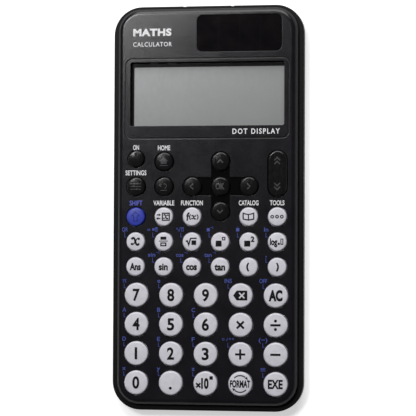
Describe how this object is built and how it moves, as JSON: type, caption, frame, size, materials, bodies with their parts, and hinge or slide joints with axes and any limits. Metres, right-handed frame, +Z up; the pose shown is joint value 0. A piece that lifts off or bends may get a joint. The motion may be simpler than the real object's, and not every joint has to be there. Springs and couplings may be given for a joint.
{
  "type": "scientific calculator",
  "caption": "Slim black scientific calculator with round keys in rows, a cross of cursor keys, a page rocker, a wide display and a solar panel.",
  "frame": {"origin": "on the surface that the rubber feet stand on, under the middle of the case", "axes": "+Y runs along the case towards the display and solar panel, +X to the right of the keys, +Z up out of the key face"},
  "size_m": [0.077, 0.162, 0.0107],
  "materials": {
    "rear_shell": "near-black moulded ABS, satin",
    "front_shell": "near-black moulded ABS with a fine matte grain",
    "window": "clear hard-coated plastic, black printed border",
    "solar": "dark amorphous cell under a clear gloss face",
    "lcd": "grey-green reflective display glass",
    "board": "green solder mask",
    "rubber": "dark moulded rubber",
    "steel": "plain steel",
    "screw_steel": "blackened steel",
    "white_key": "white plastic with a faint lavender tint, satin",
    "dark_key": "near-black plastic, satin",
    "blue_key": "blue plastic, satin"
  },
  "bodies": {
    "case": {"battery_contacts": "steel", "button_cell": "steel", "case_screws": "screw_steel", "display_window": "window", "front_shell": "front_shell", "lcd_panel": "lcd", "main_circuit_board": "board", "rear_shell": "rear_shell", "rubber_feet": "rubber", "rubber_key_mat": "rubber", "solar_panel": "solar"},
    "battery_cover_body": {"battery_cover": "rear_shell", "battery_cover_screw": "screw_steel"},
    "key_0_body": {"key_0": "white_key"},
    "key_1_body": {"key_1": "white_key"},
    "key_2_body": {"key_2": "white_key"},
    "key_3_body": {"key_3": "white_key"},
    "key_4_body": {"key_4": "white_key"},
    "key_5_body": {"key_5": "white_key"},
    "key_6_body": {"key_6": "white_key"},
    "key_7_body": {"key_7": "white_key"},
    "key_8_body": {"key_8": "white_key"},
    "key_9_body": {"key_9": "white_key"},
    "key_answer_body": {"key_answer": "white_key"},
    "key_back_body": {"key_back": "dark_key"},
    "key_catalog_body": {"key_catalog": "white_key"},
    "key_clear_body": {"key_clear": "white_key"},
    "key_cosine_body": {"key_cosine": "white_key"},
    "key_delete_body": {"key_delete": "white_key"},
    "key_divide_body": {"key_divide": "white_key"},
    "key_down_body": {"key_down": "dark_key"},
    "key_execute_body": {"key_execute": "white_key"},
    "key_exponent_body": {"key_exponent": "white_key"},
    "key_format_body": {"key_format": "white_key"},
    "key_fraction_body": {"key_fraction": "white_key"},
    "key_function_body": {"key_function": "white_key"},
    "key_home_body": {"key_home": "dark_key"},
    "key_left_body": {"key_left": "dark_key"},
    "key_left_bracket_body": {"key_left_bracket": "white_key"},
    "key_logarithm_body": {"key_logarithm": "white_key"},
    "key_minus_body": {"key_minus": "white_key"},
    "key_multiply_body": {"key_multiply": "white_key"},
    "key_ok_body": {"key_ok": "dark_key"},
    "key_page_body": {"key_page": "dark_key"},
    "key_plus_body": {"key_plus": "white_key"},
    "key_point_body": {"key_point": "white_key"},
    "key_power_body": {"key_power": "dark_key"},
    "key_power_of_body": {"key_power_of": "white_key"},
    "key_right_body": {"key_right": "dark_key"},
    "key_right_bracket_body": {"key_right_bracket": "white_key"},
    "key_root_body": {"key_root": "white_key"},
    "key_settings_body": {"key_settings": "dark_key"},
    "key_shift_body": {"key_shift": "blue_key"},
    "key_sine_body": {"key_sine": "white_key"},
    "key_square_body": {"key_square": "white_key"},
    "key_tangent_body": {"key_tangent": "white_key"},
    "key_tools_body": {"key_tools": "white_key"},
    "key_unknown_body": {"key_unknown": "white_key"},
    "key_up_body": {"key_up": "dark_key"},
    "key_variable_body": {"key_variable": "white_key"}
  },
  "joints": [
    {"name": "key_0_press", "type": "slide", "parent": "case", "child": "key_0_body", "axis": [0, 0, -1], "range_m": [0, 0.0009], "stiffness_N_per_m": 800, "springref_m": -0.0004},
    {"name": "key_1_press", "type": "slide", "parent": "case", "child": "key_1_body", "axis": [0, 0, -1], "range_m": [0, 0.0009], "stiffness_N_per_m": 800, "springref_m": -0.0004},
    {"name": "key_2_press", "type": "slide", "parent": "case", "child": "key_2_body", "axis": [0, 0, -1], "range_m": [0, 0.0009], "stiffness_N_per_m": 800, "springref_m": -0.0004},
    {"name": "key_3_press", "type": "slide", "parent": "case", "child": "key_3_body", "axis": [0, 0, -1], "range_m": [0, 0.0009], "stiffness_N_per_m": 800, "springref_m": -0.0004},
    {"name": "key_4_press", "type": "slide", "parent": "case", "child": "key_4_body", "axis": [0, 0, -1], "range_m": [0, 0.0009], "stiffness_N_per_m": 800, "springref_m": -0.0004},
    {"name": "key_5_press", "type": "slide", "parent": "case", "child": "key_5_body", "axis": [0, 0, -1], "range_m": [0, 0.0009], "stiffness_N_per_m": 800, "springref_m": -0.0004},
    {"name": "key_6_press", "type": "slide", "parent": "case", "child": "key_6_body", "axis": [0, 0, -1], "range_m": [0, 0.0009], "stiffness_N_per_m": 800, "springref_m": -0.0004},
    {"name": "key_7_press", "type": "slide", "parent": "case", "child": "key_7_body", "axis": [0, 0, -1], "range_m": [0, 0.0009], "stiffness_N_per_m": 800, "springref_m": -0.0004},
    {"name": "key_8_press", "type": "slide", "parent": "case", "child": "key_8_body", "axis": [0, 0, -1], "range_m": [0, 0.0009], "stiffness_N_per_m": 800, "springref_m": -0.0004},
    {"name": "key_9_press", "type": "slide", "parent": "case", "child": "key_9_body", "axis": [0, 0, -1], "range_m": [0, 0.0009], "stiffness_N_per_m": 800, "springref_m": -0.0004},
    {"name": "key_answer_press", "type": "slide", "parent": "case", "child": "key_answer_body", "axis": [0, 0, -1], "range_m": [0, 0.0009], "stiffness_N_per_m": 800, "springref_m": -0.0004},
    {"name": "key_back_press", "type": "slide", "parent": "case", "child": "key_back_body", "axis": [0, 0, -1], "range_m": [0, 0.0009], "stiffness_N_per_m": 800, "springref_m": -0.0004},
    {"name": "key_catalog_press", "type": "slide", "parent": "case", "child": "key_catalog_body", "axis": [0, 0, -1], "range_m": [0, 0.0009], "stiffness_N_per_m": 800, "springref_m": -0.0004},
    {"name": "key_clear_press", "type": "slide", "parent": "case", "child": "key_clear_body", "axis": [0, 0, -1], "range_m": [0, 0.0009], "stiffness_N_per_m": 800, "springref_m": -0.0004},
    {"name": "key_cosine_press", "type": "slide", "parent": "case", "child": "key_cosine_body", "axis": [0, 0, -1], "range_m": [0, 0.0009], "stiffness_N_per_m": 800, "springref_m": -0.0004},
    {"name": "key_delete_press", "type": "slide", "parent": "case", "child": "key_delete_body", "axis": [0, 0, -1], "range_m": [0, 0.0009], "stiffness_N_per_m": 800, "springref_m": -0.0004},
    {"name": "key_divide_press", "type": "slide", "parent": "case", "child": "key_divide_body", "axis": [0, 0, -1], "range_m": [0, 0.0009], "stiffness_N_per_m": 800, "springref_m": -0.0004},
    {"name": "key_down_press", "type": "slide", "parent": "case", "child": "key_down_body", "axis": [0, 0, -1], "range_m": [0, 0.0009], "stiffness_N_per_m": 800, "springref_m": -0.0004},
    {"name": "key_execute_press", "type": "slide", "parent": "case", "child": "key_execute_body", "axis": [0, 0, -1], "range_m": [0, 0.0009], "stiffness_N_per_m": 800, "springref_m": -0.0004},
    {"name": "key_exponent_press", "type": "slide", "parent": "case", "child": "key_exponent_body", "axis": [0, 0, -1], "range_m": [0, 0.0009], "stiffness_N_per_m": 800, "springref_m": -0.0004},
    {"name": "key_format_press", "type": "slide", "parent": "case", "child": "key_format_body", "axis": [0, 0, -1], "range_m": [0, 0.0009], "stiffness_N_per_m": 800, "springref_m": -0.0004},
    {"name": "key_fraction_press", "type": "slide", "parent": "case", "child": "key_fraction_body", "axis": [0, 0, -1], "range_m": [0, 0.0009], "stiffness_N_per_m": 800, "springref_m": -0.0004},
    {"name": "key_function_press", "type": "slide", "parent": "case", "child": "key_function_body", "axis": [0, 0, -1], "range_m": [0, 0.0009], "stiffness_N_per_m": 800, "springref_m": -0.0004},
    {"name": "key_home_press", "type": "slide", "parent": "case", "child": "key_home_body", "axis": [0, 0, -1], "range_m": [0, 0.0009], "stiffness_N_per_m": 800, "springref_m": -0.0004},
    {"name": "key_left_press", "type": "slide", "parent": "case", "child": "key_left_body", "axis": [0, 0, -1], "range_m": [0, 0.0009], "stiffness_N_per_m": 800, "springref_m": -0.0004},
    {"name": "key_left_bracket_press", "type": "slide", "parent": "case", "child": "key_left_bracket_body", "axis": [0, 0, -1], "range_m": [0, 0.0009], "stiffness_N_per_m": 800, "springref_m": -0.0004},
    {"name": "key_logarithm_press", "type": "slide", "parent": "case", "child": "key_logarithm_body", "axis": [0, 0, -1], "range_m": [0, 0.0009], "stiffness_N_per_m": 800, "springref_m": -0.0004},
    {"name": "key_minus_press", "type": "slide", "parent": "case", "child": "key_minus_body", "axis": [0, 0, -1], "range_m": [0, 0.0009], "stiffness_N_per_m": 800, "springref_m": -0.0004},
    {"name": "key_multiply_press", "type": "slide", "parent": "case", "child": "key_multiply_body", "axis": [0, 0, -1], "range_m": [0, 0.0009], "stiffness_N_per_m": 800, "springref_m": -0.0004},
    {"name": "key_ok_press", "type": "slide", "parent": "case", "child": "key_ok_body", "axis": [0, 0, -1], "range_m": [0, 0.0009], "stiffness_N_per_m": 800, "springref_m": -0.0004},
    {"name": "page_rocker_tilt", "type": "hinge", "parent": "case", "child": "key_page_body", "pos_m": [0.0285, 0.01332, 0.00885], "axis": [1, 0, 0], "range_deg": [-3, 3], "stiffness_Nm_per_rad": 0.2},
    {"name": "key_plus_press", "type": "slide", "parent": "case", "child": "key_plus_body", "axis": [0, 0, -1], "range_m": [0, 0.0009], "stiffness_N_per_m": 800, "springref_m": -0.0004},
    {"name": "key_point_press", "type": "slide", "parent": "case", "child": "key_point_body", "axis": [0, 0, -1], "range_m": [0, 0.0009], "stiffness_N_per_m": 800, "springref_m": -0.0004},
    {"name": "key_power_press", "type": "slide", "parent": "case", "child": "key_power_body", "axis": [0, 0, -1], "range_m": [0, 0.0009], "stiffness_N_per_m": 800, "springref_m": -0.0004},
    {"name": "key_power_of_press", "type": "slide", "parent": "case", "child": "key_power_of_body", "axis": [0, 0, -1], "range_m": [0, 0.0009], "stiffness_N_per_m": 800, "springref_m": -0.0004},
    {"name": "key_right_press", "type": "slide", "parent": "case", "child": "key_right_body", "axis": [0, 0, -1], "range_m": [0, 0.0009], "stiffness_N_per_m": 800, "springref_m": -0.0004},
    {"name": "key_right_bracket_press", "type": "slide", "parent": "case", "child": "key_right_bracket_body", "axis": [0, 0, -1], "range_m": [0, 0.0009], "stiffness_N_per_m": 800, "springref_m": -0.0004},
    {"name": "key_root_press", "type": "slide", "parent": "case", "child": "key_root_body", "axis": [0, 0, -1], "range_m": [0, 0.0009], "stiffness_N_per_m": 800, "springref_m": -0.0004},
    {"name": "key_settings_press", "type": "slide", "parent": "case", "child": "key_settings_body", "axis": [0, 0, -1], "range_m": [0, 0.0009], "stiffness_N_per_m": 800, "springref_m": -0.0004},
    {"name": "key_shift_press", "type": "slide", "parent": "case", "child": "key_shift_body", "axis": [0, 0, -1], "range_m": [0, 0.0009], "stiffness_N_per_m": 800, "springref_m": -0.0004},
    {"name": "key_sine_press", "type": "slide", "parent": "case", "child": "key_sine_body", "axis": [0, 0, -1], "range_m": [0, 0.0009], "stiffness_N_per_m": 800, "springref_m": -0.0004},
    {"name": "key_square_press", "type": "slide", "parent": "case", "child": "key_square_body", "axis": [0, 0, -1], "range_m": [0, 0.0009], "stiffness_N_per_m": 800, "springref_m": -0.0004},
    {"name": "key_tangent_press", "type": "slide", "parent": "case", "child": "key_tangent_body", "axis": [0, 0, -1], "range_m": [0, 0.0009], "stiffness_N_per_m": 800, "springref_m": -0.0004},
    {"name": "key_tools_press", "type": "slide", "parent": "case", "child": "key_tools_body", "axis": [0, 0, -1], "range_m": [0, 0.0009], "stiffness_N_per_m": 800, "springref_m": -0.0004},
    {"name": "key_unknown_press", "type": "slide", "parent": "case", "child": "key_unknown_body", "axis": [0, 0, -1], "range_m": [0, 0.0009], "stiffness_N_per_m": 800, "springref_m": -0.0004},
    {"name": "key_up_press", "type": "slide", "parent": "case", "child": "key_up_body", "axis": [0, 0, -1], "range_m": [0, 0.0009], "stiffness_N_per_m": 800, "springref_m": -0.0004},
    {"name": "key_variable_press", "type": "slide", "parent": "case", "child": "key_variable_body", "axis": [0, 0, -1], "range_m": [0, 0.0009], "stiffness_N_per_m": 800, "springref_m": -0.0004},
    {"name": "battery_cover_lift", "type": "slide", "parent": "case", "child": "battery_cover_body", "axis": [0, 0, -1], "range_m": [0, 0.012]}
  ]
}
